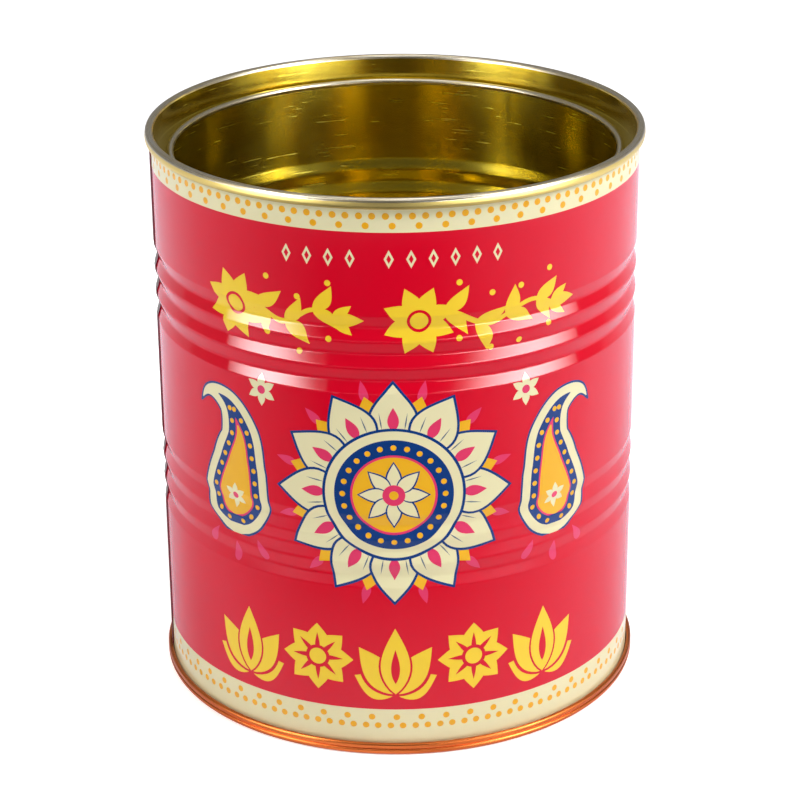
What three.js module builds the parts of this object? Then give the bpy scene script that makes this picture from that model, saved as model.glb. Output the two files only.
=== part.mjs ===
import * as THREE from "three";

// An open-topped, three-piece spice tin: a beaded sheet-metal body with a lapped side seam, a top
// ring and a base end, each joined to the body by a double seam. Units are millimetres, +Z is up,
// the origin is the centre of the plane the tin stands on and the front of the tin faces -Y.

// Driving dimensions
const overallHeight = 180;
const seamRadius = 77;
const bodyRadius = 75.3;
const sheetThickness = 0.35;
const topSeamHeight = 3.3;
const baseSeamHeight = 4;

// Beads: two groups of three rounded grooves rolled into the body
const beadPitch = 8.25;
const beadsPerGroup = 3;
const beadMouth = 7.4;
const beadFloor = 0.9;
const upperBeads = { middle: 131.9, depth: 1.1 };
const lowerBeads = { middle: 68.8, depth: 0.75 };

// Top ring: a countersunk wall, a flat ledge and a rolled inner edge
const ledgeTop = 171.7;
const ledgeOuterRadius = 74.2;
const ledgeInnerRadius = 70.8;
const curlRadius = 0.8;
const curlCentre = { r: 69.3, z: 172.3 };
const curlStart = 0;
const curlEnd = 220;
const curlSteps = 5;

// Base end: a recessed panel with two expansion rings
const countersinkTop = 5.4;
const panelTop = 4.4;
const countersinkOuterRadius = 73.4;
const countersinkInnerRadius = 71.9;
const stepRun = 1.1;
const stepHeight = 0.9;
const expansionRings = [
  { inner: 34, outer: 40 },
  { inner: 54, outer: 60 },
];

// Side seam: the lapped and lacquered edge of the body sheet, a strip up the tin's left side
const seamStripWidth = 8;
const seamStripThickness = 0.3;
const seamStripGap = 0.15;
const seamStripAngle = THREE.MathUtils.degToRad(-85);

const facetCount = 48;
const facetHalfAngle = Math.PI / facetCount;
const firstFacetAngle = seamStripAngle - facetHalfAngle;

// A double seam is five layers of sheet. Layer 0 is the body wall, layer -1 the countersunk wall
// inside it, and layers 1, 2 and 3 the end hook, the body hook and the outer wall.
const wallLine = bodyRadius - sheetThickness / 2;
const layerStep = (seamRadius - bodyRadius) / 3;
const layerRadius = (layer) => wallLine + layer * layerStep;

// Each bend is drawn as three straight runs, so a seam's top and bottom are flat rings.
const bendSteps = 3;
const bendFlat = Math.sin(Math.PI / 3);
const seamBendHeight = sheetThickness / 2 + 2 * layerStep * bendFlat;
const hookBendHeight = sheetThickness / 2 + layerStep * bendFlat;
const hookTipGap = 0.35;

const material = (color, roughness, metalness) =>
  new THREE.MeshStandardMaterial({ color, roughness, metalness });

const printedRed = material(0xd21330, 0.3, 0.1);
const goldLacquer = material(0x9a7a24, 0.3, 0.85);
const copperLacquer = material(0xc8743a, 0.35, 0.85);
const sideStripe = material(0x4a3418, 0.45, 0.3);

// Points of an arc about (r, z), from one angle to another in degrees.
function arc(r, z, radius, startDegrees, endDegrees, steps = bendSteps) {
  return Array.from({ length: steps + 1 }, (_, i) => {
    const turn = THREE.MathUtils.lerp(startDegrees, endDegrees, i / steps);
    const angle = THREE.MathUtils.degToRad(turn);
    return new THREE.Vector2(r + radius * Math.cos(angle), z + radius * Math.sin(angle));
  });
}

// The sideways step at a point of a centre line that keeps both faces of the sheet parallel to it.
function mitre(line, index, distance) {
  const before = line[Math.max(index - 1, 0)];
  const here = line[index];
  const after = line[Math.min(index + 1, line.length - 1)];
  const arriving = here.clone().sub(before).normalize();
  const leaving = after.clone().sub(here).normalize();
  const along = arriving.clone().add(leaving).normalize();
  const halfTurn = Math.max(arriving.dot(along), leaving.dot(along));
  return new THREE.Vector2(along.y, -along.x).multiplyScalar(distance / halfTurn);
}

// One face of a sheet that follows a centre line, half a thickness to its right (1) or left (-1).
function sheetFace(centreLine, thickness, side) {
  return centreLine.map((point, i) =>
    point.clone().add(mitre(centreLine, i, (side * thickness) / 2)),
  );
}

// The closed outline of a sheet that follows a centre line.
function sheetOutline(centreLine, thickness) {
  const right = sheetFace(centreLine, thickness, 1);
  const left = sheetFace(centreLine, thickness, -1);
  return [...right, ...left.reverse(), right[0]];
}

// Turns an outline, drawn as (radius, height), about the Z axis.
function turned(outline) {
  const geometry = new THREE.LatheGeometry(outline, facetCount, firstFacetAngle);
  return geometry.rotateX(Math.PI / 2);
}

function mesh(name, geometry, surface) {
  const result = new THREE.Mesh(geometry, surface);
  result.name = name;
  return result;
}

// One group of grooves, from the lowest point to the highest.
function beadGroup(wallRadius, beads) {
  const points = [];
  for (let i = 0; i < beadsPerGroup; i += 1) {
    const centre = beads.middle + (i - (beadsPerGroup - 1) / 2) * beadPitch;
    points.push(
      new THREE.Vector2(wallRadius, centre - beadMouth / 2),
      new THREE.Vector2(wallRadius - beads.depth, centre - beadFloor / 2),
      new THREE.Vector2(wallRadius - beads.depth, centre + beadFloor / 2),
      new THREE.Vector2(wallRadius, centre + beadMouth / 2),
    );
  }
  return points;
}

// The beaded wall at a given radius between two heights.
function beadedWall(wallRadius, bottom, top) {
  return [
    new THREE.Vector2(wallRadius, bottom),
    ...beadGroup(wallRadius, lowerBeads),
    ...beadGroup(wallRadius, upperBeads),
    new THREE.Vector2(wallRadius, top),
  ];
}

// The body sheet: a hook turned outward at each end of the beaded wall.
function canBody() {
  const hookRadius = layerRadius(2);
  const bendRadius = layerRadius(1);
  const lowBend = seamBendHeight;
  const highBend = overallHeight - seamBendHeight;
  const lowTip = baseSeamHeight - hookBendHeight - hookTipGap;
  const highTip = overallHeight - topSeamHeight + hookBendHeight + hookTipGap;
  const centreLine = [
    new THREE.Vector2(hookRadius, lowTip),
    ...arc(bendRadius, lowBend, layerStep, 0, -180),
    ...beadedWall(layerRadius(0), lowBend, highBend).slice(1, -1),
    ...arc(bendRadius, highBend, layerStep, 180, 0),
    new THREE.Vector2(hookRadius, highTip),
  ];
  return mesh("can_body", turned(sheetOutline(centreLine, sheetThickness)), printedRed);
}

// The seamed edge of an end as far as its countersunk wall, for a seam standing on z = 0: the hook
// inside the seam, the outer wall, and the bend that carries the sheet under the body's edge.
function seamedEdge(seamHeight) {
  return [
    new THREE.Vector2(layerRadius(1), seamBendHeight + hookTipGap),
    ...arc(layerRadius(2), seamHeight - hookBendHeight, layerStep, 180, 0),
    ...arc(layerRadius(1), seamBendHeight, 2 * layerStep, 0, -180),
  ];
}

// The top ring: double seam, countersunk wall, ledge and rolled inner edge.
function topRing() {
  const upsideDown = (point) => new THREE.Vector2(point.x, overallHeight - point.y);
  const ledge = ledgeTop - sheetThickness / 2;
  const centreLine = [
    ...seamedEdge(topSeamHeight).map(upsideDown),
    new THREE.Vector2(ledgeOuterRadius, ledge),
    new THREE.Vector2(ledgeInnerRadius, ledge),
    ...arc(curlCentre.r, curlCentre.z, curlRadius, curlStart, curlEnd, curlSteps),
  ];
  return mesh("top_ring", turned(sheetOutline(centreLine, sheetThickness)), goldLacquer);
}

// The panel of the base end, from the countersunk wall to the centre.
function basePanel() {
  const panel = panelTop - sheetThickness / 2;
  const countersink = countersinkTop - sheetThickness / 2;
  const points = [
    new THREE.Vector2(countersinkOuterRadius, countersink),
    new THREE.Vector2(countersinkInnerRadius, countersink),
    new THREE.Vector2(countersinkInnerRadius - stepRun, panel),
  ];
  for (const ring of [...expansionRings].reverse()) {
    points.push(
      new THREE.Vector2(ring.outer, panel),
      new THREE.Vector2(ring.outer - stepRun, panel - stepHeight),
      new THREE.Vector2(ring.inner + stepRun, panel - stepHeight),
      new THREE.Vector2(ring.inner, panel),
    );
  }
  points.push(new THREE.Vector2(0, panel));
  return points;
}

// The base end: double seam, countersunk wall and panel. Its outline starts and ends on the axis.
function baseEnd() {
  const centreLine = [...seamedEdge(baseSeamHeight), ...basePanel()];
  const topFace = sheetFace(centreLine, sheetThickness, 1);
  const underFace = sheetFace(centreLine, sheetThickness, -1);
  return mesh("base_end", turned([...underFace.reverse(), ...topFace]), copperLacquer);
}

// The side seam: a strip that follows the beads, one facet of the body behind it.
function sideSeam() {
  const standOff = sheetThickness / 2 + seamStripGap + seamStripThickness / 2;
  const bottom = baseSeamHeight + seamStripGap;
  const top = overallHeight - topSeamHeight - seamStripGap;
  const centreLine = beadedWall(layerRadius(0) + standOff, bottom, top);
  const shape = new THREE.Shape(sheetOutline(centreLine, seamStripThickness));
  const geometry = new THREE.ExtrudeGeometry(shape, { depth: seamStripWidth, bevelEnabled: false });
  geometry.translate(0, 0, -seamStripWidth / 2);
  geometry.scale(Math.cos(facetHalfAngle), 1, 1);
  geometry.rotateX(Math.PI / 2);
  geometry.rotateZ(seamStripAngle - Math.PI / 2);
  return mesh("side_seam", geometry, sideStripe);
}

const tin = new THREE.Group();
tin.name = "spice_tin";
tin.add(canBody(), topRing(), baseEnd(), sideSeam());

export default tin;
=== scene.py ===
import math

import bmesh
import bpy
import numpy as np
from mathutils import Matrix, Vector
from mathutils.geometry import delaunay_2d_cdt


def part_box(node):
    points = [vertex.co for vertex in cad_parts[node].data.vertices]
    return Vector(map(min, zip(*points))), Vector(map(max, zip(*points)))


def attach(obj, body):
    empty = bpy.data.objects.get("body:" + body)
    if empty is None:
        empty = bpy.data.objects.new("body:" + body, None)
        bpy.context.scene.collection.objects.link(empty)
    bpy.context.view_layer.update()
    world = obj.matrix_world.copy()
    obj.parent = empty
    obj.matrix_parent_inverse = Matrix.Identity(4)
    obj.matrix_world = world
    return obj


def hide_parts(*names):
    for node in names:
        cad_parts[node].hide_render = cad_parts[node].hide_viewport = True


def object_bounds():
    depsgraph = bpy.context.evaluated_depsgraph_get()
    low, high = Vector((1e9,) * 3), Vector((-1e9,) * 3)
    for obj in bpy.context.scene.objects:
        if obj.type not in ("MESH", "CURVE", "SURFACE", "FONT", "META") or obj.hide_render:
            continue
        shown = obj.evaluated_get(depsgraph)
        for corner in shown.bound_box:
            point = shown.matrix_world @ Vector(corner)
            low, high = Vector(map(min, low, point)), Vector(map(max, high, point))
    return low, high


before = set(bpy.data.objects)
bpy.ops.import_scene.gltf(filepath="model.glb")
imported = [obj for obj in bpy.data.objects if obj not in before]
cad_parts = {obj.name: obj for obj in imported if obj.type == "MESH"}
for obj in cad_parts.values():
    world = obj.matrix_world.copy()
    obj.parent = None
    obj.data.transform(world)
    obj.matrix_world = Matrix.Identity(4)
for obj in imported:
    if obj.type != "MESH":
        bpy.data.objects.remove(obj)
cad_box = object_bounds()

# The looks of an open-topped, three-piece spice tin: a printed and beaded body, a top ring, a base
# end and the lapped side seam. Shapes are worked out in millimetres and written to meshes in
# metres. An azimuth of 0 is the front of the tin (-Y) and grows to the right, towards +X.

MM = 0.001
SHEET = 0.35
TOP_SEAM_HEIGHT = 3.3
BASE_SEAM_HEIGHT = 4.0
COLUMNS = 180
END_COLUMNS = 240


# --- What the frame says -------------------------------------------------------------------------


def frame_points(node):
    """Each vertex of a CAD node, in millimetres."""
    return np.array([v.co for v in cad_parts[node].data.vertices]) / MM


def frame_radii(node):
    """Distance from the axis and height of each vertex of a CAD node, in millimetres."""
    x, y, z = frame_points(node).T
    return np.hypot(x, y), z


def azimuth_of(node):
    """Azimuth of the middle of a CAD node, in radians."""
    x, y, _ = frame_points(node).mean(axis=0)
    return math.atan2(x, -y)


def half_width_at(node, azimuth):
    """Half of a CAD node's width, measured round the tin at an azimuth, in millimetres."""
    x, y, _ = frame_points(node).T
    round_the_tin = x * math.cos(azimuth) + y * math.sin(azimuth)
    return np.ptp(round_the_tin) / 2


HEIGHT = cad_box[1].z / MM
SEAM_RADIUS = frame_radii("top_ring")[0].max()
LAP_AZIMUTH = azimuth_of("side_seam")
LAP_HALF_WIDTH = half_width_at("side_seam", LAP_AZIMUTH)


def wall_radius():
    """Radius of the outer face of the body between its beads."""
    radius, height = frame_radii("can_body")
    clear_of_seams = np.abs(height - HEIGHT / 2) < 0.4 * HEIGHT
    return radius[clear_of_seams].max()


WALL_RADIUS = wall_radius()
UNROLLED_WIDTH = 2 * math.pi * WALL_RADIUS


def frame_beads():
    """(Middle height, depth) of each bead, read off the CAD body from the bottom up."""
    least_depth = 0.5
    least_gap = 4.0
    radius, height = frame_radii("can_body")
    levels = np.unique(height.round(3))
    outside = np.array([radius[abs(height - level) < 0.01].max() for level in levels])
    deep = outside < WALL_RADIUS - least_depth
    floors = list(zip(levels[deep], outside[deep]))
    beads = [[floors[0]]]
    for floor in floors[1:]:
        if floor[0] - beads[-1][-1][0] > least_gap:
            beads.append([])
        beads[-1].append(floor)
    middles = [(bead[0][0] + bead[-1][0]) / 2 for bead in beads]
    depths = [WALL_RADIUS - max(radius for _, radius in bead) for bead in beads]
    return list(zip(middles, depths))


BEADS = frame_beads()
BEAD_PITCH = BEADS[1][0] - BEADS[0][0]
BEAD_ROUND = 0.7
SEAM_BULGE = 0.2

# The five layers of a double seam: the body wall is layer 0, the countersunk wall layer -1, and the
# end hook, the body hook and the outer wall are layers 1, 2 and 3.
LAYER_STEP = (SEAM_RADIUS - WALL_RADIUS) / 3


def layer(number):
    return WALL_RADIUS - SHEET / 2 + number * LAYER_STEP


# --- Turned sheet metal --------------------------------------------------------------------------


def filleted(corners, step=math.radians(15)):
    """A line through corners given as (radius, height, fillet), each rounded by its fillet."""
    places = [np.array(corner[:2], float) for corner in corners]
    line = [places[0]]
    for before, here, after, corner in zip(places, places[1:], places[2:], corners[1:]):
        fillet = corner[2]
        arriving = (here - before) / np.linalg.norm(here - before)
        leaving = (after - here) / np.linalg.norm(after - here)
        turn = math.acos(np.clip(arriving @ leaving, -1, 1))
        if fillet == 0 or turn < 1e-6:
            line.append(here)
            continue
        cut = fillet * math.tan(turn / 2)
        start = here - arriving * cut
        side = leaving - arriving * (arriving @ leaving)
        side /= np.linalg.norm(side)
        steps = max(2, math.ceil(turn / step))
        for i in range(steps + 1):
            angle = turn * i / steps
            bend = arriving * math.sin(angle) + side * (1 - math.cos(angle))
            line.append(start + fillet * bend)
    line.append(places[-1])
    return np.array(line)


def sideways(line):
    """Unit vectors to the right of a line of points, averaged at each point."""
    runs = np.diff(line, axis=0)
    lengths = np.linalg.norm(runs, axis=1, keepdims=True)
    runs = runs / np.maximum(lengths, 1e-9)
    ahead = np.vstack([runs, runs[-1:]])
    behind = np.vstack([runs[:1], runs])
    along = ahead + behind
    along /= np.linalg.norm(along, axis=1, keepdims=True)
    return np.column_stack([along[:, 1], -along[:, 0]])


def sheet_faces(centre_line):
    """The right and left faces of a sheet that follows a centre line."""
    offset = sideways(centre_line) * SHEET / 2
    return centre_line + offset, centre_line - offset


def at_azimuth(radius, azimuth, height):
    return (radius * math.sin(azimuth), -radius * math.cos(azimuth), height)


def ring(radius, height, columns=COLUMNS):
    """One ring of vertices, which starts at the lapped side seam."""
    return [
        at_azimuth(radius, LAP_AZIMUTH + 2 * math.pi * i / columns, height)
        for i in range(columns)
    ]


def ring_quads(low, high, columns):
    """Quads between two rings of vertices, given by their first indices."""
    return [
        (low + i, low + (i + 1) % columns, high + (i + 1) % columns, high + i)
        for i in range(columns)
    ]


def make_piece(name, vertices, faces, face_slots, materials, node, sharp=35):
    """A closed mesh in metres that stands for a CAD node and rides with it."""
    mesh = bpy.data.meshes.new(name)
    mesh.from_pydata([Vector(v) * MM for v in vertices], [], faces)
    for material in materials:
        mesh.materials.append(material)
    mesh.polygons.foreach_set("material_index", face_slots)
    form = bmesh.new()
    form.from_mesh(mesh)
    bmesh.ops.recalc_face_normals(form, faces=form.faces)
    form.to_mesh(mesh)
    form.free()
    mesh.shade_smooth()
    mesh.set_sharp_from_angle(angle=math.radians(sharp))
    piece = bpy.data.objects.new(name, mesh)
    bpy.context.scene.collection.objects.link(piece)
    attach(piece, "root")
    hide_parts(node)
    return piece


def turned(name, outline, slot_at, materials, node):
    """A piece made by turning an outline about the axis. slot_at gives a point's material."""
    columns = END_COLUMNS
    on_axis = outline[0][0] < 1e-6
    vertices = [v for radius, height in outline for v in ring(radius, height, columns)]
    faces = []
    face_slots = []
    count = len(outline)
    for i in range(count - 1 if on_axis else count):
        after = (i + 1) % count
        faces += ring_quads(i * columns, after * columns, columns)
        face_slots += [slot_at((outline[i] + outline[after]) / 2)] * columns
    if on_axis:
        vertices, faces, face_slots = closed_at_axis(vertices, faces, face_slots, columns)
    return make_piece(name, vertices, faces, face_slots, materials, node)


def closed_at_axis(vertices, faces, face_slots, columns):
    """Turns the quads that touch the axis into triangles."""
    last = len(vertices) - columns
    made = []
    slots = []
    for face, slot in zip(faces, face_slots):
        kept = []
        for index in face:
            if index < columns:
                index = 0
            if index >= last:
                index = last
            if index not in kept:
                kept.append(index)
        made.append(kept)
        slots.append(slot)
    used = sorted({index for face in made for index in face})
    new_index = {index: i for i, index in enumerate(used)}
    made = [[new_index[index] for index in face] for face in made]
    return [vertices[index] for index in used], made, slots


# --- Drawing, in millimetres ---------------------------------------------------------------------

CURVE_STEP = 0.8
OUTLINE_STEP = 1.2


def smooth(points):
    """Points along a smooth open curve through the given ones."""
    points = [np.array(point, float) for point in points]
    chords = [after - here for here, after in zip(points, points[1:])]

    def heading(i):
        """The curve's direction at a point, nearer to that of the shorter chord beside it."""
        before, after = chords[max(i - 1, 0)], chords[min(i, len(chords) - 1)]
        long_before, long_after = np.linalg.norm(before), np.linalg.norm(after)
        run = before / long_before * long_after + after / long_after * long_before
        return run / np.linalg.norm(run)

    line = []
    for i, (start, end) in enumerate(zip(points, points[1:])):
        length = np.linalg.norm(end - start)
        leaving, arriving = heading(i) * length, heading(i + 1) * length
        steps = max(1, round(length / CURVE_STEP))
        for t in np.arange(steps) / steps:
            line.append(
                (1 + 2 * t) * (1 - t) ** 2 * start
                + t * (1 - t) ** 2 * leaving
                + t**2 * (3 - 2 * t) * end
                - t**2 * (1 - t) * arriving
            )
    return np.array([*line, points[-1]])


def brush(line, widths):
    """A stroke along a line of points, whose width passes through the given ones in turn."""
    least_width = 0.04
    stops = np.linspace(0, 1, len(widths))
    along = np.linspace(0, 1, len(line))
    half = np.maximum(np.interp(along, stops, widths), least_width)[:, None] / 2
    offset = sideways(line) * half
    return np.vstack([line + offset, (line - offset)[::-1]])


def disc(x, z, radius, points=18):
    angles = np.arange(points) * 2 * math.pi / points
    return np.column_stack([x + radius * np.cos(angles), z + radius * np.sin(angles)])


def drop(x, z, length, width, degrees, points=22):
    """A drop whose point is at (x, z) and which hangs off it at an angle from straight down."""
    fullness, sharpness = 0.62, 1.2
    turn = np.arange(points) * 2 * math.pi / points
    down = length * (1 - np.cos(turn)) / 2
    across = fullness * width * np.sin(turn) * np.sin(turn / 2) ** sharpness
    return turned_shape(np.column_stack([across, -down]), degrees) + (x, z)


def turned_shape(shape, degrees):
    """A shape turned about (0, 0), towards the left when the angle is positive."""
    angle = math.radians(degrees)
    turn = np.array([[math.cos(angle), math.sin(angle)], [-math.sin(angle), math.cos(angle)]])
    return shape @ turn


def beads_along(line, spacing, radius):
    """Discs at even steps along a line of points."""
    runs = np.linalg.norm(np.diff(line, axis=0), axis=1)
    travelled = np.concatenate([[0], np.cumsum(runs)])
    count = max(2, round(travelled[-1] / spacing) + 1)
    stops = np.linspace(0, travelled[-1], count)
    xs = np.interp(stops, travelled, line[:, 0])
    zs = np.interp(stops, travelled, line[:, 1])
    return [disc(x, z, radius, 14) for x, z in zip(xs, zs)]


def finely_stepped(outline):
    """A closed outline with points added along its long edges, so that it can be rolled up."""
    line = []
    for here, after in zip(outline, np.roll(outline, -1, axis=0)):
        steps = max(1, math.ceil(np.linalg.norm(after - here) / OUTLINE_STEP))
        line += [here + (after - here) * i / steps for i in range(steps)]
    return np.array(line)


def anticlockwise(outline):
    x, z = outline.T
    area = np.sum(x * np.roll(z, -1) - np.roll(x, -1) * z)
    return outline if area > 0 else outline[::-1]


class Drawing:
    """Printed shapes in the order they are laid down. Each is an ink and an outline."""

    def __init__(self):
        self.shapes = []

    def add(self, ink, *outlines):
        self.shapes += [(ink, np.asarray(outline)) for outline in outlines]

    def place(self, other, x, z=0.0, mirrored=False):
        """Lays down another drawing, moved by (x, z) and possibly mirrored."""
        for ink, outline in other.shapes:
            flip = (-1, 1) if mirrored else (1, 1)
            self.shapes.append((ink, outline * flip + (x, z)))


# --- The printed design --------------------------------------------------------------------------
# x runs round the tin from the middle of a picture, z is the height above the table.

MARKS_MIDDLE = 161.5
GARLAND_MIDDLE = 142.4
MEDALLION_MIDDLE = 87.5
PAISLEY_FOOT = 66
BLOSSOM_MIDDLE = 117
FLOWER_ROW_FOOT = 20.6

TOP_BAND = 169.5
BASE_BAND = 15.3

# Heights of the pair of dots and of the single dot in each group
TOP_DOTS = (174.4, 171.5)
BASE_DOTS = (9.7, 12.6)
DOT_RADIUS = 1.03
DOT_GROUPS = 62
PAIR_SPREAD = 0.245
PICTURE_AZIMUTHS = (math.radians(-1), math.radians(179))


def dotted_border(pair_height, single_height):
    """Groups of three dots all round the tin."""
    border = Drawing()
    pitch = UNROLLED_WIDTH / DOT_GROUPS
    for i in range(DOT_GROUPS):
        x = (i + 0.5) * pitch
        for along, height in (
            (-PAIR_SPREAD, pair_height),
            (PAIR_SPREAD, pair_height),
            (0, single_height),
        ):
            border.add("orange", disc(x + along * pitch, height, DOT_RADIUS))
    return border


def small_marks():
    """A row of small hollow lozenges with one wider gap."""
    marks = Drawing()
    height, width, line = 5.6, 2.9, 0.75
    pitch = 6.4
    extra_gap = 0.75
    before_gap = [i * pitch for i in range(4)]
    after_gap = [(i + extra_gap) * pitch for i in range(4, 10)]
    places = before_gap + after_gap
    start = -(places[0] + places[-1]) / 2
    lozenge = np.array([(0, height / 2), (-width / 2, 0), (0, -height / 2), (width / 2, 0)])
    inner = lozenge * (1 - 2 * line / width)
    for place in places:
        x = start + place
        marks.add("cream", lozenge + (x, MARKS_MIDDLE))
        marks.add("red", inner + (x, MARKS_MIDDLE))
    return marks


def garland(length, pairs):
    """A garland: a round flower, then a waving stem with pairs of leaves and a closing bud."""
    vine = Drawing()
    flower = 10.2
    reach = length - 9
    half_waves = 3
    xs = np.linspace(flower, reach, 60)
    wave = 2.6 * np.sin((xs - flower) / (reach - flower) * half_waves * math.pi)
    stem = np.column_stack([xs, wave])
    vine.add("yellow", brush(stem, (2.2, 1.8, 1.5, 1.2)))
    across = sideways(stem)
    for i in range(pairs):
        share = (i + 0.75) / (pairs + 0.35)
        at = round(share * (len(xs) - 1))
        x, z = stem[at]
        slope = math.degrees(math.atan2(across[at][0], -across[at][1]))
        size = 10.6 - 0.5 * i
        for side in (-1, 1):
            vine.add("yellow", leaf(x, z, size, 4.4, slope - 90 + 46 * side, bend=0.1 * side))
            vine.add("yellow", disc(x + 4.6, z + 8.6 * side, 0.95, 14))
    vine.add("yellow", leaf(reach - 0.5, stem[-1][1], 9.5, 4.6, -90))
    for side in (-1, 1):
        vine.add("yellow", leaf(reach - 0.5, stem[-1][1], 7.5, 3.2, -90 + 38 * side))
    for i in range(8):
        vine.add("yellow", leaf(flower, 0, 11.0, 6.0, 45 * i + 22.5))
    vine.add("red", disc(flower, 0, 3.6, 32))
    vine.add("yellow", disc(flower, 0, 2.7, 28))
    return vine


def leaf(x, z, length, width, degrees, bend=0.0):
    """A pointed leaf that stands on (x, z) and leans to the left. It can be bent sideways."""
    t = np.linspace(0, 1, 15)
    half = width / 2 * np.sin(math.pi * t**0.8)
    middle = bend * length * np.sin(math.pi * t)
    up = np.column_stack([middle + half, length * t])
    down = np.column_stack([middle - half, length * t])[::-1][1:-1]
    return turned_shape(np.vstack([up, down]), degrees) + (x, z)


def lotus(height):
    """A lotus of five petals that stands on (0, 0)."""
    flower = Drawing()
    petals = ((-64, 0.62), (64, 0.62), (-35, 0.86), (35, 0.86), (0, 1.0))
    for degrees, share in petals:
        length = height * share
        flower.add("red", leaf(0, -0.7, length + 1.4, 0.40 * height + 1.3, degrees))
        flower.add("yellow", leaf(0, 0, length, 0.40 * height, degrees))
    flower.add("red", leaf(0, 0.16 * height, 0.52 * height, 0.12 * height, 0))
    return flower


def rosette(height):
    """A flower of eight petals, as tall as the lotus, that stands on (0, 0)."""
    flower = Drawing()
    middle = height / 2
    for i in range(8):
        flower.add("yellow", leaf(0, middle, middle, 0.36 * height, 45 * i))
    for i in range(8):
        flower.add("red", leaf(0, middle, 0.36 * height, 0.07 * height, 45 * i))
    flower.add("red", disc(0, middle, 0.17 * height, 32))
    flower.add("yellow", disc(0, middle, 0.12 * height, 28))
    return flower


def motif_row():
    """Five bold flowers in a row, lotuses and rosettes by turns."""
    row = Drawing()
    height, pitch = 22.6, 24.2
    motifs = (lotus, rosette, lotus, rosette, lotus)
    for i, motif in enumerate(motifs):
        x = (i - (len(motifs) - 1) / 2) * pitch
        row.place(motif(height), x, FLOWER_ROW_FOOT)
    return row


# The ornament in the middle of a picture: a round medallion between two paisleys

PETALS = 12

# Rows of the medallion's petals: ink, distance of the foot from the middle, length and width
OUTER_PETALS = [("amber", 16, 16.6, 10.4)]
INNER_PETALS = [("blue", 14.6, 21.8, 15.4), ("cream", 15.4, 19.8, 13.8), ("pink", 20.6, 7.6, 3.4)]
HEART_PETALS = [("blue", 1.2, 9.8, 5.0), ("cream", 1.4, 8.9, 4.0)]

# Its rings, as the ink and the radius of one disc laid on another
RINGS = [("blue", 21.6), ("cream", 20.7), ("blue", 17.9), ("pink", 13.0), ("amber", 12.3)]
RING_BEADS = 24
RING_BEADS_RADIUS = 15.4


def petal(degrees, foot, length, width):
    """A leaf that points away from (0, 0) and stands at a distance from it."""
    return turned_shape(leaf(0, foot, length, width, 0), degrees)


def add_petals(flower, degrees, rows):
    """Adds one petal of each row to a flower, laid one on another."""
    for ink, foot, length, width in rows:
        flower.add(ink, petal(degrees, foot, length, width))


def vein(degrees, foot, length):
    """A fine line that points away from (0, 0) and is thin at both ends."""
    line = np.column_stack([np.zeros(9), np.linspace(foot, foot + length, 9)])
    return turned_shape(brush(line, (0, 0.45, 0.3, 0)), degrees)


def medallion():
    """Two rows of petals about a beaded ring, with a small flower in its heart."""
    flower = Drawing()
    for i in range(PETALS):
        turn = 360 / PETALS * (i + 0.5)
        flower.add("pink", turned_shape(drop(0, 37.4, 6.4, 3.0, 0), turn))
        add_petals(flower, turn, OUTER_PETALS)
    for i in range(PETALS):
        turn = 360 / PETALS * i
        add_petals(flower, turn, INNER_PETALS)
        for lean in (-9, 9):
            flower.add("ash", vein(turn + lean, 21.4, 5.4))
    for ink, radius in RINGS:
        flower.add(ink, disc(0, 0, radius, 96))
    bead = disc(0, RING_BEADS_RADIUS, 0.9, 14)
    for i in range(RING_BEADS):
        flower.add("amber", turned_shape(bead, 360 / RING_BEADS * i))
    for i in range(8):
        add_petals(flower, 45 * i, HEART_PETALS)
    flower.add("pink", disc(0, 0, 3.4, 28))
    flower.add("amber", disc(0, 0, 1.4, 18))
    return flower


def blossom(reach):
    """A little flower of six petals about a pink heart."""
    flower = Drawing()
    for i in range(6):
        flower.add("cream", petal(60 * i, 0.12 * reach, 0.88 * reach, 0.5 * reach))
    flower.add("pink", disc(0, 0, 0.26 * reach, 18))
    return flower


# A paisley's size, and its spine as multiples of that size
PAISLEY_RADIUS = 13.6
PAISLEY_SPINE = [(0, 0), (0, 1), (-0.13, 1.84), (-0.18, 2.62), (0.2, 3.25), (0.77, 3.33),
                 (1.08, 2.95)]


def paisley_edge(depth):
    """The outline of a paisley, moved in by a depth: round at its foot, and tapered along a spine
    that curls over to the right."""
    spine = smooth(np.array(PAISLEY_SPINE) * PAISLEY_RADIUS)
    runs = np.linalg.norm(np.diff(spine, axis=0), axis=1)
    travelled = np.concatenate([[0], np.cumsum(runs)])
    past_foot = np.maximum(travelled - PAISLEY_RADIUS, 0)
    taper = 1.15
    tapered = PAISLEY_RADIUS * (1 - (past_foot / past_foot[-1]) ** taper) - depth
    short_of_middle = np.maximum(PAISLEY_RADIUS - travelled, 0)
    rounded = np.sqrt(np.maximum((PAISLEY_RADIUS - depth) ** 2 - short_of_middle**2, 0))
    half = np.where(short_of_middle > 0, rounded, tapered)
    least_half_width = 0.02
    inside = half > least_half_width
    offset = (sideways(spine) * half[:, None])[inside]
    return np.vstack([spine[inside] + offset, (spine[inside] - offset)[::-1]])


def paisley():
    """A paisley that stands on (0, 0), with three drops hung from its foot."""
    figure = Drawing()
    for lean in (-32, 0, 32):
        hung = drop(0, -PAISLEY_RADIUS - 1.6, 6.8, 3.2, 0)
        figure.add("pink", turned_shape(hung, lean) + (0, PAISLEY_RADIUS))
    for ink, depth in (("blue", 0), ("cream", 0.7), ("blue", 3.6), ("pink", 6.6), ("amber", 7.2)):
        figure.add(ink, paisley_edge(depth))
    figure.add("amber", *beads_along(paisley_edge(5.1), 4.1, 0.82))
    figure.place(blossom(4.2), 0, PAISLEY_RADIUS)
    return figure


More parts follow.
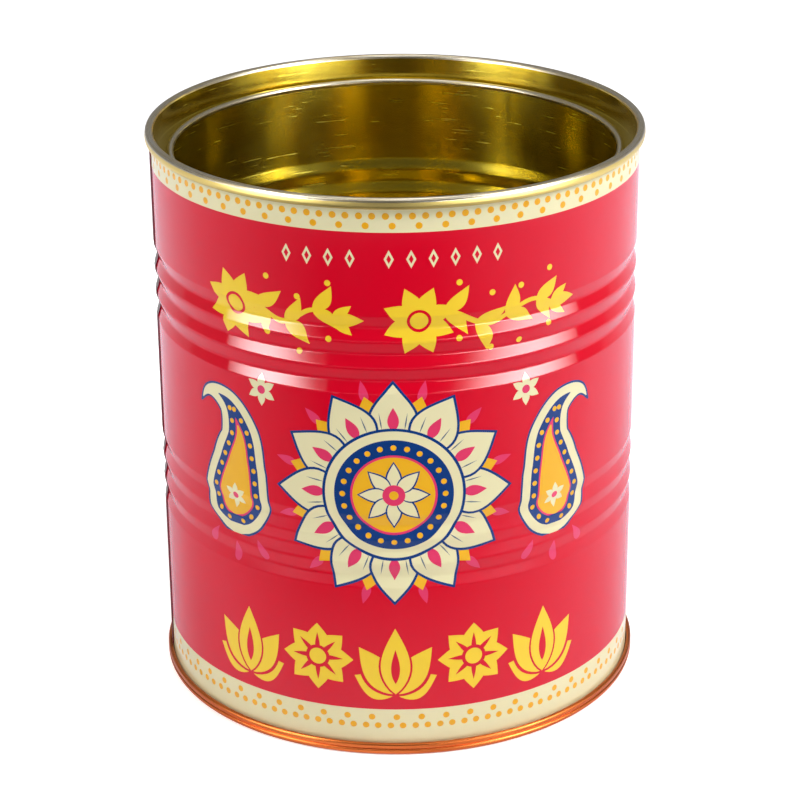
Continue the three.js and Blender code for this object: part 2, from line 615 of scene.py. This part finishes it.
def middle_ornament():
    """The medallion, with a paisley and a little flower on either side of it."""
    ornament = Drawing()
    ornament.place(medallion(), 0, MEDALLION_MIDDLE)
    for mirrored in (False, True):
        side = -1 if mirrored else 1
        ornament.place(paisley(), 52.5 * side, PAISLEY_FOOT, mirrored)
        ornament.place(blossom(5.2), 41 * side, BLOSSOM_MIDDLE)
    return ornament


def front_picture():
    """One picture: small marks over two garlands, the ornament and the row of flowers."""
    picture = Drawing()
    picture.place(small_marks(), 0)
    for start, length, pairs in ((-60.2, 52, 3), (-2.4, 61.5, 4)):
        picture.place(garland(length, pairs), start, GARLAND_MIDDLE)
    picture.place(middle_ornament(), 0)
    picture.place(motif_row(), 0)
    return picture


def whole_print():
    """Everything printed on the unrolled sheet. x runs from one lapped edge to the other."""
    sheet = Drawing()
    sheet.place(dotted_border(*TOP_DOTS), 0)
    sheet.place(dotted_border(*BASE_DOTS), 0)
    picture = front_picture()
    for azimuth in PICTURE_AZIMUTHS:
        sheet.place(picture, (azimuth - LAP_AZIMUTH) * WALL_RADIUS)
    return sheet


# --- Materials -----------------------------------------------------------------------------------


def linear(red, green, blue):
    """An RGBA colour from sRGB values of 0 to 255."""
    channels = [c / 255 for c in (red, green, blue)]
    return [c / 12.92 if c <= 0.04045 else ((c + 0.055) / 1.055) ** 2.4 for c in channels] + [1]


class Finish:
    """A material and short ways to add nodes to it."""

    def __init__(self, name):
        self.material = bpy.data.materials.new(name)
        self.material.use_nodes = True
        self.tree = self.material.node_tree
        self.shader = self.tree.nodes["Principled BSDF"]

    def node(self, kind, settings=None, **inputs):
        made = self.tree.nodes.new(kind)
        for key, value in (settings or {}).items():
            setattr(made, key, value)
        for key, value in inputs.items():
            self.feed(made, key.replace("_", " "), value)
        return made

    def feed(self, node, name, value):
        """Sets an input to a value, or links it to an output."""
        if isinstance(value, bpy.types.NodeSocket):
            self.tree.links.new(value, node.inputs[name])
        else:
            node.inputs[name].default_value = value

    def set(self, **inputs):
        for key, value in inputs.items():
            self.feed(self.shader, key.replace("_", " "), value)

    def math(self, operation, *values):
        made = self.tree.nodes.new("ShaderNodeMath")
        made.operation = operation
        for i, value in enumerate(values):
            self.feed(made, i, value)
        return made.outputs[0]

    def noise(self, vector, scale, detail=4.0):
        made = self.node("ShaderNodeTexNoise", None, Vector=vector, Scale=scale, Detail=detail,
                         Roughness=0.55)
        return made.outputs["Fac"]

    def between(self, value, low, high, start=0.0, end=1.0):
        """Maps a value that runs from start to end onto low to high."""
        made = self.node("ShaderNodeMapRange")
        for name, amount in (("Value", value), ("From Min", start), ("From Max", end),
                             ("To Min", low), ("To Max", high)):
            self.feed(made, name, amount)
        return made.outputs["Result"]

    def mixed(self, share, first, second):
        """A colour that goes from the first to the second as the share goes from 0 to 1."""
        made = self.node("ShaderNodeMix", {"data_type": "RGBA"})
        share_socket, first_socket, second_socket, colour_socket = 0, 6, 7, 2
        self.feed(made, share_socket, share)
        self.feed(made, first_socket, first)
        self.feed(made, second_socket, second)
        return made.outputs[colour_socket]

    def place(self):
        return self.node("ShaderNodeTexCoord").outputs["Object"]

    def unrolled(self, around, up):
        """Millimetres round the tin from the lap, up it and out from its axis, the first multiplied
        by one scale and the others by another."""
        turn = self.node("ShaderNodeVectorRotate", {"rotation_type": "Z_AXIS"},
                         Vector=self.place(), Angle=-LAP_AZIMUTH)
        parts = self.node("ShaderNodeSeparateXYZ", None, Vector=turn.outputs[0]).outputs
        azimuth = self.math("ARCTAN2", parts["X"], parts["Y"])
        x = self.math("MULTIPLY", azimuth, WALL_RADIUS * around)
        z = self.math("MULTIPLY", parts["Z"], up / MM)
        level = self.node("ShaderNodeCombineXYZ", None, X=parts["X"], Y=parts["Y"]).outputs[0]
        out = self.node("ShaderNodeVectorMath", {"operation": "LENGTH"}, Vector=level)
        radius = self.math("MULTIPLY", out.outputs["Value"], up / MM)
        return self.node("ShaderNodeCombineXYZ", None, X=x, Y=z, Z=radius).outputs[0]

    def bump(self, height, distance):
        made = self.node("ShaderNodeBump", None, Height=height, Strength=1.0,
                         Distance=distance * MM)
        self.set(Normal=made.outputs[0])


def printed_ink(name, colour):
    """Varnished ink on tinplate: a faint orange peel and a gloss that varies a little."""
    ink = Finish(name)
    ink.set(Base_Color=linear(*colour), Metallic=0.0, Specular_IOR_Level=0.0)
    ink.set(Coat_Weight=0.84, Coat_IOR=1.5)
    speckle = ink.noise(ink.place(), 900)
    cloud = ink.noise(ink.place(), 70)
    orange_peel = ink.noise(ink.place(), 1400, detail=2)
    ink.set(Roughness=ink.between(speckle, 0.36, 0.46))
    ink.set(Coat_Roughness=ink.between(cloud, 0.05, 0.11, start=0.3, end=0.7))
    ink.bump(orange_peel, distance=0.004)
    return ink.material


def gold_lacquer(name, colour, roughness, anisotropic):
    """Gold lacquer on rolled tinplate: reflections drawn out up and down, with fine scratches and
    a few dull scuffs."""
    gold = Finish(name)
    grain = gold.noise(gold.unrolled(0.05, 3.0), 1.0, 6)
    cloud = gold.noise(gold.unrolled(0.08, 0.05), 1.0, 3)
    gold.set(Base_Color=linear(*colour), Metallic=1.0, Anisotropic=anisotropic)
    gold.set(Anisotropic_Rotation=0.25)
    scuffs = gold.noise(gold.unrolled(0.06, 1.3), 1.0, 5)
    rough = gold.math("ADD", gold.between(grain, -0.02, 0.02, 0.3, 0.7),
                      gold.between(cloud, roughness - 0.03, roughness + 0.04, 0.3, 0.7))
    gold.set(Roughness=gold.math("ADD", rough, gold.between(scuffs, 0, 0.16, 0.6, 0.72)))
    tangent = gold.node("ShaderNodeTangent", {"direction_type": "RADIAL", "axis": "Z"})
    gold.set(Tangent=tangent.outputs[0])
    gold.bump(grain, distance=0.0003)
    return gold.material


def bare_tin(name):
    """Tin rubbed bright by the seaming rolls, with scratches along the rim."""
    tin = Finish(name)
    grain = tin.noise(tin.unrolled(0.06, 9.0), 1.0, 6)
    tin.set(Metallic=1.0, Roughness=tin.between(grain, 0.18, 0.42, 0.3, 0.7))
    other_tone = tin.between(grain, 0, 1, 0.42, 0.62)
    tin.set(Base_Color=tin.mixed(other_tone, linear(206, 200, 188), linear(168, 148, 96)))
    tin.bump(grain, distance=0.01)
    return tin.material


def copper_lacquer(name):
    """Copper-coloured lacquer with scratches along the seam and rings on the flat panel."""
    copper = Finish(name)
    grain = copper.noise(copper.unrolled(0.05, 5.0), 1.0, 6)
    copper.set(Metallic=1.0, Roughness=copper.between(grain, 0.2, 0.4, 0.3, 0.7))
    darker = copper.between(grain, 0, 1, 0.4, 0.65)
    copper.set(Base_Color=copper.mixed(darker, linear(222, 122, 60), linear(176, 86, 38)))
    copper.bump(grain, distance=0.012)
    return copper.material


def seam_lacquer(name, colour, scorched=None):
    """The dull lacquer over the lapped seam, uneven along its length and perhaps scorched. Also the
    lap's dark magenta edges, which are painted shade on the red print.
    """
    stripe = Finish(name)
    blotch = stripe.noise(stripe.unrolled(1.0, 0.12), 1.0, 5)
    stripe.set(Base_Color=linear(*colour), Metallic=0.3, Specular_IOR_Level=0.2)
    if scorched:
        share = stripe.between(blotch, 0, 1, 0.35, 0.65)
        stripe.set(Base_Color=stripe.mixed(share, linear(*colour), linear(*scorched)))
    stripe.set(Roughness=stripe.between(blotch, 0.3, 0.6, 0.3, 0.7), Coat_Weight=0.15)
    stripe.bump(blotch, distance=0.03)
    return stripe.material


INKS = {
    "red": (216, 2, 36),
    "cream": (233, 225, 180),
    "orange": (236, 170, 14),
    "yellow": (246, 208, 52),
    "amber": (240, 180, 36),
    "blue": (16, 58, 126),
    "pink": (226, 58, 104),
    "ash": (96, 112, 132),
}
ink_names = list(INKS)
printed = [printed_ink("printed_" + name, colour) for name, colour in INKS.items()]
gold_inside = gold_lacquer("gold_lacquer", (224, 205, 80), roughness=0.17, anisotropic=0.86)
gold_rim = gold_lacquer("gold_lacquer_rim", (188, 167, 61), roughness=0.17, anisotropic=0.6)
# A rougher copy of the ring's gold, painted lighter: a painted reflection that brightens the seam's
# outer wall.
gold_lit_band = gold_lacquer("gold_lacquer_lit_band", (220, 196, 114), roughness=0.36, anisotropic=0.3)
tin_bright = bare_tin("bare_tin")
copper = copper_lacquer("copper_lacquer")
inner_stripe = seam_lacquer("seam_lacquer_inside", (74, 50, 30))
outer_stripe = seam_lacquer("seam_lacquer", (58, 40, 24), scorched=(104, 78, 44))
# The lap's edges: a darker, bluer red, painted shade that stands for the red print in shadow.
stripe_edge_shaded_red = seam_lacquer("seam_edge_shaded_red", (132, 8, 52))


# --- The pieces ----------------------------------------------------------------------------------

# Points of the unrolled sheet this near to a line, in millimetres, lie on it.
ON_LINE = 1e-4


def bead_dip(height):
    """How far the wall is pressed in at a height, and the slope of that dip. The grooves have
    straight sides, and their crests and floors are rounded."""
    half = BEAD_PITCH / 2
    for middle, depth in BEADS:
        away = abs(height - middle)
        if away >= half:
            continue
        steep = depth / (half - BEAD_ROUND)
        if away < BEAD_ROUND:
            slope = steep * away / BEAD_ROUND
            dip = depth - slope * away / 2
        elif away > half - BEAD_ROUND:
            slope = steep * (half - away) / BEAD_ROUND
            dip = slope * (half - away) / 2
        else:
            slope = steep
            dip = depth - steep * (away - BEAD_ROUND / 2)
        return dip, slope if height < middle else -slope
    return 0.0, 0.0


def wall_rows(low, high):
    """Heights of the grid's rows: close together in the beads, further apart between them."""
    plain_step = 7.0
    half = BEAD_PITCH / 2
    side = [0, BEAD_ROUND / 2, BEAD_ROUND, half / 2, half - BEAD_ROUND, half - BEAD_ROUND / 2, half]
    stops = {low, BASE_BAND, TOP_BAND, high}
    for middle, _ in BEADS:
        stops |= {round(middle + way * away, 6) for away in side for way in (-1, 1)}
    stops = sorted(stops)
    rows = []
    for stop, after in zip(stops, stops[1:]):
        steps = math.ceil((after - stop) / plain_step)
        rows += list(np.linspace(stop, after, steps + 1)[:-1])
    return rows + [high]


def printed_face(rows):
    """Cuts the unrolled sheet along every printed edge, but leaves out shapes that the side seam
    would cover wholly or in part. Returns points, triangles and inks."""
    merged_within = 1e-3
    points = [(UNROLLED_WIDTH * i / COLUMNS, z) for z in rows for i in range(COLUMNS + 1)]
    outlines = []
    inks = []
    for ink, outline in whole_print().shapes:
        outline = finely_stepped(anticlockwise(outline))
        x = outline[:, 0]
        if x.min() < LAP_HALF_WIDTH or x.max() > UNROLLED_WIDTH - LAP_HALF_WIDTH:
            continue
        outlines.append(list(range(len(points), len(points) + len(outline))))
        inks.append(ink_names.index(ink))
        points += [tuple(p) for p in outline]
    row_edges = [
        (row * (COLUMNS + 1) + i, row * (COLUMNS + 1) + i + 1)
        for row, z in enumerate(rows)
        if bead_dip(z)[0] > 0
        for i in range(COLUMNS)
    ]
    cut = delaunay_2d_cdt([Vector(p) for p in points], row_edges, outlines, 0, merged_within)
    flat, triangles, sources = cut[0], cut[2], cut[5]
    base_inks = [ink_names.index("cream"), ink_names.index("red")]
    slots = []
    for triangle, source in zip(triangles, sources):
        middle = sum(flat[i].y for i in triangle) / 3
        on_red = BASE_BAND < middle < TOP_BAND
        slots.append(inks[max(source)] if source else base_inks[on_red])
    return flat, triangles, slots


def body_profile(low, high):
    """The body's faces other than the printed one: up over the top hook, down the inside of the
    wall, and round the bottom hook. A line of (radius, height) from the print's top to its foot.
    Each hook lies against the sheet of the end that it is seamed into."""
    base_hook = SHEET * 1.5
    top_hook = HEIGHT - base_hook
    hook_reach = 1.5
    coarse = math.radians(30)
    inner_radius = WALL_RADIUS - SHEET
    top = filleted([
        (layer(0), high, 0),
        (layer(0), top_hook, LAYER_STEP),
        (layer(2), top_hook, LAYER_STEP),
        (layer(2), top_hook - hook_reach, 0),
    ], coarse)
    base = filleted([
        (layer(2), base_hook + hook_reach, 0),
        (layer(2), base_hook, LAYER_STEP),
        (layer(0), base_hook, LAYER_STEP),
        (layer(0), low, 0),
    ], coarse)
    right_top, left_top = sheet_faces(top)
    right_base, left_base = sheet_faces(base)
    inner = [(inner_radius - bead_dip(z)[0], z) for z in wall_rows(low, high)[::-1]]
    return np.vstack([right_top, left_top[::-1][:-1], inner, left_base[::-1][1:], right_base])


def rolled_up(flat):
    """Rolls the cut sheet into a cylinder and joins its two edges. Returns the vertices, their
    normals and the index of each point's vertex."""
    far_edge = UNROLLED_WIDTH - ON_LINE
    first_at = {round(p.y, 4): i for i, p in enumerate(flat) if p.x < ON_LINE}
    index = {}
    vertices = []
    normals = []
    for i, p in enumerate(flat):
        if p.x > far_edge:
            continue
        index[i] = len(vertices)
        dip, slope = bead_dip(p.y)
        azimuth = LAP_AZIMUTH + p.x / WALL_RADIUS
        vertices.append(at_azimuth(WALL_RADIUS - dip, azimuth, p.y))
        normals.append(Vector(at_azimuth(1, azimuth, slope)).normalized())
    for i, p in enumerate(flat):
        if p.x > far_edge:
            index[i] = index[first_at[round(p.y, 4)]]
    return vertices, normals, index


def level_row(flat, index, height):
    """The vertices of the rolled sheet at a height, in order round the tin."""
    far_edge = UNROLLED_WIDTH - ON_LINE
    row = [i for i, p in enumerate(flat) if abs(p.y - height) < ON_LINE and p.x < far_edge]
    return [index[i] for i in sorted(row, key=lambda i: flat[i].x)]


def printed_body():
    """The body as one closed mesh: the printed face, the hooks and the gold inside of the wall."""
    behind_seam = 1.2
    low = BASE_SEAM_HEIGHT - behind_seam
    high = HEIGHT - TOP_SEAM_HEIGHT + behind_seam
    flat, triangles, slots = printed_face(wall_rows(low, high))
    vertices, normals, index = rolled_up(flat)
    faces = [[index[i] for i in triangle] for triangle in triangles]
    profile = body_profile(low, high)
    across = sideways(profile)
    rings = [level_row(flat, index, high)]
    for (radius, height), (out, up) in zip(profile[1:-1], across[1:-1]):
        rings.append(list(range(len(vertices), len(vertices) + COLUMNS)))
        vertices += ring(radius, height)
        for i in range(COLUMNS):
            azimuth = LAP_AZIMUTH + 2 * math.pi * i / COLUMNS
            normals.append(Vector(at_azimuth(out, azimuth, up)).normalized())
    rings.append(level_row(flat, index, low))
    gold = len(printed)
    weld = gold + 1
    for below, above in zip(rings, rings[1:]):
        for i in range(COLUMNS):
            after = (i + 1) % COLUMNS
            faces.append([below[i], below[after], above[after], above[i]])
            slots.append(weld if i in (0, COLUMNS - 1) else gold)
    materials = [*printed, gold_inside, inner_stripe]
    piece = make_piece("printed_body", vertices, faces, slots, materials, "can_body",
                       sharp=180)
    piece.data.normals_split_custom_set_from_vertices(normals)
    return piece


def seamed_edge(seam_height, bulge=0.0):
    """Corners of an end's seamed edge, for a seam that stands on z = 0: the hook inside the seam as
    far as the outer wall, and the bend that carries the sheet over the body's edge. Each fillet is
    a little under half of the gap that it turns across, so that no two of them meet."""
    hook_tip = 1.9
    far_bend = seam_height - SHEET / 2
    near_bend = SHEET / 2
    return [
        (layer(1), hook_tip, 0),
        (layer(1), far_bend, LAYER_STEP * 0.98),
        (layer(3) - bulge, far_bend, LAYER_STEP * 0.9),
    ], [
        (layer(3) - bulge, near_bend, LAYER_STEP * 1.9),
        (layer(-1), near_bend, LAYER_STEP * 1.98),
    ]


def rim_ring():
    """The top ring: double seam, countersunk wall, ledge and rolled inner edge."""
    hook, over = seamed_edge(TOP_SEAM_HEIGHT, SEAM_BULGE)
    widest = TOP_SEAM_HEIGHT * 0.68
    belly = [(layer(3), widest, 1.5)]
    seam = [(radius, HEIGHT - height, fillet) for radius, height, fillet in hook + belly + over]
    ledge = HEIGHT - 8.6
    ledge_outer, ledge_inner = 74.2, 70.7
    curl_radius, curl_height, curl_size = 69.3, HEIGHT - 7.7, 0.82
    line = filleted(seam + [
        (ledge_outer, ledge, 0.5),
        (ledge_inner, ledge, 0.3),
        (curl_radius + curl_size, curl_height - 0.05, 0),
    ])
    curl_turn = 255
    angles = np.radians(np.arange(0, curl_turn + 1, 15))
    roll = np.column_stack([
        curl_radius + curl_size * np.cos(angles),
        curl_height + curl_size * np.sin(angles),
    ])
    right, left = sheet_faces(np.vstack([line, roll]))
    crest = HEIGHT - 1.1
    curl_outside = curl_radius + curl_size + 0.1
    outer_wall = layer(3) - SEAM_BULGE / 2
    gold, bright, other_tone = range(3)

    def slot_at(point):
        """Bright tin on the crest and the curl, gold elsewhere, and on the seam's outer wall a
        rougher gold painted lighter: a painted reflection of the bright floor.
        """
        radius, height = point
        if height > crest or radius < curl_outside:
            return bright
        return other_tone if radius > outer_wall else gold

    outline = np.vstack([right, left[::-1]])
    return turned("rim_ring", outline, slot_at, [gold_rim, tin_bright, gold_lit_band], "top_ring")


def base_end():
    """The base end: a double seam with a crease round it, and a panel with expansion rings."""
    hook, over = seamed_edge(BASE_SEAM_HEIGHT)
    crease_depth = 0.4
    crease = [
        (layer(3) - 0.04, 2.6, 0.6),
        (layer(3) - crease_depth, 1.9, 0.1),
        (layer(3), 1.62, 0.15),
    ]
    countersink, panel, ring_floor = 5.2, 4.2, 3.3
    wall_foot, countersink_foot = 73.4, 71.9
    ring_side, bend = 1.1, 0.6
    expansion_rings = ((54, 60), (34, 40))
    corners = hook + crease + over + [
        (wall_foot, countersink, 0.5),
        (countersink_foot, countersink, 0.5),
        (countersink_foot - 1, panel, 0.5),
    ]
    for inner, outer in expansion_rings:
        corners += [
            (outer, panel, bend),
            (outer - ring_side, ring_floor, bend),
            (inner + ring_side, ring_floor, bend),
            (inner, panel, bend),
        ]
    corners.append((0, panel, 0))
    line = filleted(corners)
    right, left = sheet_faces(line)
    outline = np.vstack([left[::-1], right])
    outline[[0, -1], 0] = 0
    panel_line = line[line[:, 0] < wall_foot][::-1]
    outside, inside = range(2)

    def slot_at(point):
        """Gold on the panel's upper face, which is the inside of the tin, and copper elsewhere."""
        radius, height = point
        upper = radius < wall_foot and height > np.interp(radius, *panel_line.T)
        return inside if upper else outside

    return turned("base_end", outline, slot_at, [copper, gold_rim], "base_end")


def side_lap():
    """The lapped seam: a strip that follows the beads a little proud of the wall."""
    low, high = (corner.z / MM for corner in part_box("side_seam"))
    across = np.linspace(-LAP_HALF_WIDTH, LAP_HALF_WIDTH, 13)
    edge_width = 0.8
    ridge_height, ridge_width = 0.1, 0.7
    rows = [z for z in wall_rows(low, high) if low < z < high]
    rows = [low, *rows, high]
    stand_off, thickness = 0.12, 0.24

    def grid(lift):
        return [
            at_azimuth(WALL_RADIUS - bead_dip(z)[0] + lift(x), LAP_AZIMUTH + x / WALL_RADIUS, z)
            for z in rows
            for x in across
        ]

    def crown(x):
        return stand_off + thickness + ridge_height * math.exp(-((x / ridge_width) ** 2))

    vertices = grid(crown) + grid(lambda x: stand_off)
    columns = len(across)
    back = len(rows) * columns
    lacquer, edge = range(2)
    faces = []
    slots = []

    def add(face, slot):
        faces.append(face)
        slots.append(slot)

    for r in range(len(rows) - 1):
        for c in range(columns - 1):
            a, b = r * columns + c, r * columns + c + 1
            middle = (across[c] + across[c + 1]) / 2
            # Faces near the lap's edges take the painted shade of the red print.
            slot = edge if abs(middle) > LAP_HALF_WIDTH - edge_width else lacquer
            add([a, b, b + columns, a + columns], slot)
            add([back + a, back + a + columns, back + b + columns, back + b], lacquer)
        for a in (r * columns, r * columns + columns - 1):
            add([a, a + columns, back + a + columns, back + a], edge)
    for r in (0, len(rows) - 1):
        for c in range(columns - 1):
            a = r * columns + c
            add([a, a + 1, back + a + 1, back + a], lacquer)
    return make_piece("side_lap", vertices, faces, slots, [outer_stripe, stripe_edge_shaded_red],
                      "side_seam")


printed_body()
rim_ring()
base_end()
side_lap()


# --- Stage, light and camera ---------------------------------------------------------------------


def paper_material():
    """White to the camera. In reflections it is bluish, darker in a zone in front of the tin and
    brighter behind it, in place of the dark studio that the real tin reflected."""
    paper = Finish("floor_paper")
    place = paper.place()
    parts = paper.node("ShaderNodeSeparateXYZ", None, Vector=place).outputs
    rays = paper.node("ShaderNodeLightPath").outputs
    reflected = rays["Is Glossy Ray"]

    zone_azimuth, zone_inner, zone_outer = (math.radians(angle) for angle in (-8, 24, 104))
    azimuth = paper.math("ARCTAN2", parts["X"], paper.math("MULTIPLY", parts["Y"], -1.0))
    off_zone = paper.math("ABSOLUTE", paper.math("SUBTRACT", azimuth, zone_azimuth))
    ahead = paper.between(off_zone, 1.0, 0.0, zone_inner, zone_outer)
    away = paper.node("ShaderNodeVectorMath", {"operation": "LENGTH"}, Vector=place).outputs["Value"]
    past_foot = paper.between(away, 0.0, 1.0, 0.08, 0.2)
    short_of_end = paper.between(away, 1.0, 0.0, 0.55, 0.61)
    zone = paper.math("MULTIPLY", paper.math("MULTIPLY", ahead, past_foot), short_of_end)
    shade = paper.math("MULTIPLY", zone, reflected)
    pale = paper.mixed(reflected, linear(250, 250, 250), linear(228, 228, 250))
    paper.set(Base_Color=paper.mixed(shade, pale, linear(20, 20, 24)))
    paper.set(Roughness=0.8, Specular_IOR_Level=0.1)

    to_camera = paper.math("MULTIPLY", rays["Is Camera Ray"], 0.5)
    behind = paper.math("MULTIPLY", paper.between(parts["Y"], 0.0, 0.45, -0.3, 0.3), reflected)
    paper.set(Emission_Color=(1, 1, 1, 1), Emission_Strength=paper.math("ADD", to_camera, behind))
    return paper.material


def pale_floor():
    size = 3.0
    mesh = bpy.data.meshes.new("floor")
    corners = [(-size, -size, 0), (size, -size, 0), (size, size, 0), (-size, size, 0)]
    mesh.from_pydata(corners, [], [(0, 1, 2, 3)])
    mesh.materials.append(paper_material())
    floor = bpy.data.objects.new("floor", mesh)
    bpy.context.scene.collection.objects.link(floor)


LIGHT_DISTANCE = 1.3


def soft_light(name, azimuth, elevation, distance, width, height, watts):
    """A rectangular light that faces the middle of the tin and fades towards its own edges."""
    light = bpy.data.lights.new(name, "AREA")
    light.shape = "RECTANGLE"
    light.size, light.size_y = width, height
    light.energy = watts
    light.use_nodes = True
    tree = light.node_tree
    centred = tree.nodes.new("ShaderNodeVectorMath")
    centred.operation = "DISTANCE"
    middle_of_light = (0.5, 0.5, 0)
    centred.inputs[1].default_value = middle_of_light
    tree.links.new(tree.nodes.new("ShaderNodeNewGeometry").outputs["Parametric"], centred.inputs[0])
    fade = tree.nodes.new("ShaderNodeMapRange")
    fade.interpolation_type = "SMOOTHSTEP"
    for socket, amount in (("From Min", 0.0), ("From Max", 0.6), ("To Min", 2.4), ("To Max", 0.1)):
        fade.inputs[socket].default_value = amount
    tree.links.new(centred.outputs["Value"], fade.inputs["Value"])
    tree.links.new(fade.outputs[0], tree.nodes["Emission"].inputs["Strength"])
    lamp = bpy.data.objects.new(name, light)
    bpy.context.scene.collection.objects.link(lamp)
    turn, tilt = math.radians(azimuth), math.radians(elevation)
    away = Vector((math.sin(turn) * math.cos(tilt), -math.cos(turn) * math.cos(tilt),
                   math.sin(tilt)))
    lamp.location = away * distance + Vector((0, 0, HEIGHT * MM / 2))
    lamp.rotation_mode = "QUATERNION"
    lamp.rotation_quaternion = away.to_track_quat("Z", "Y")
    return lamp


def reflected_light(name, azimuth, elevation, width, height, watts):
    """A light that shows only in reflections, so that glints can be bright without washing out the
    ink."""
    lamp = soft_light(name, azimuth, elevation, LIGHT_DISTANCE, width, height, watts)
    lamp.visible_diffuse = False


def side_light(name, azimuth, strip_azimuth, strip_width, glow, glint):
    """A high softbox that lights the tin, and a low strip for the glints in the beads."""
    softbox_elevation, strip_elevation = 42, 7.5
    soft_light(name + "_softbox", azimuth, softbox_elevation, LIGHT_DISTANCE, 0.6, 0.8, glow)
    reflected_light(name + "_strip", strip_azimuth, strip_elevation, strip_width, 0.3, glint)


def studio():
    """A room that is darker behind the camera, a pair of lights on each side, a softbox above and
    behind the tin, and a strip for the glints along its rim."""
    world = bpy.data.worlds.new("studio")
    bpy.context.scene.world = world
    world.use_nodes = True
    tree = world.node_tree
    place = tree.nodes.new("ShaderNodeTexCoord")
    parts = tree.nodes.new("ShaderNodeSeparateXYZ")
    fade = tree.nodes.new("ShaderNodeMapRange")
    tree.links.new(place.outputs["Generated"], parts.inputs[0])
    tree.links.new(parts.outputs["Y"], fade.inputs["Value"])
    for name, amount in (("From Min", -0.9), ("From Max", 0.3), ("To Min", 0.05), ("To Max", 0.3)):
        fade.inputs[name].default_value = amount
    tree.links.new(fade.outputs[0], tree.nodes["Background"].inputs["Strength"])
    tree.nodes["Background"].inputs["Color"].default_value = (1, 1, 1, 1)
    side_light("left", azimuth=-60, strip_azimuth=-57, strip_width=1.2, glow=9, glint=12)
    side_light("right", azimuth=66, strip_azimuth=53, strip_width=1.9, glow=15.5, glint=18)
    reflected_light("rim_strip", azimuth=0, elevation=62, width=1.4, height=0.35, watts=2)
    soft_light("top_softbox", azimuth=180, elevation=80, distance=1.5, width=1, height=1, watts=5)


def camera():
    """The photograph's camera: its distance, height and the small turns of its framing."""
    distance, elevation = 0.8303, math.radians(22.767)
    yaw, pitch, roll = (math.radians(angle) for angle in (-0.0568, -0.2422, 0.5251))
    lens = bpy.data.cameras.new("camera")
    lens.lens, lens.sensor_width = 116.23, 36
    lens.clip_start = 0.01
    view = bpy.data.objects.new("camera", lens)
    bpy.context.scene.collection.objects.link(view)
    away = Vector((0, -math.cos(elevation), math.sin(elevation)))
    facing = away.to_track_quat("Z", "Y").to_matrix()
    framing = Matrix.Rotation(yaw, 3, "Y") @ Matrix.Rotation(pitch, 3, "X")
    framing = framing @ Matrix.Rotation(-roll, 3, "Z")
    place = away * distance + Vector((0, 0, HEIGHT * MM / 2))
    view.matrix_world = Matrix.Translation(place) @ (facing @ framing).to_4x4()
    bpy.context.scene.camera = view


pale_floor()
studio()
camera()
bpy.context.scene.view_settings.view_transform = "Standard"
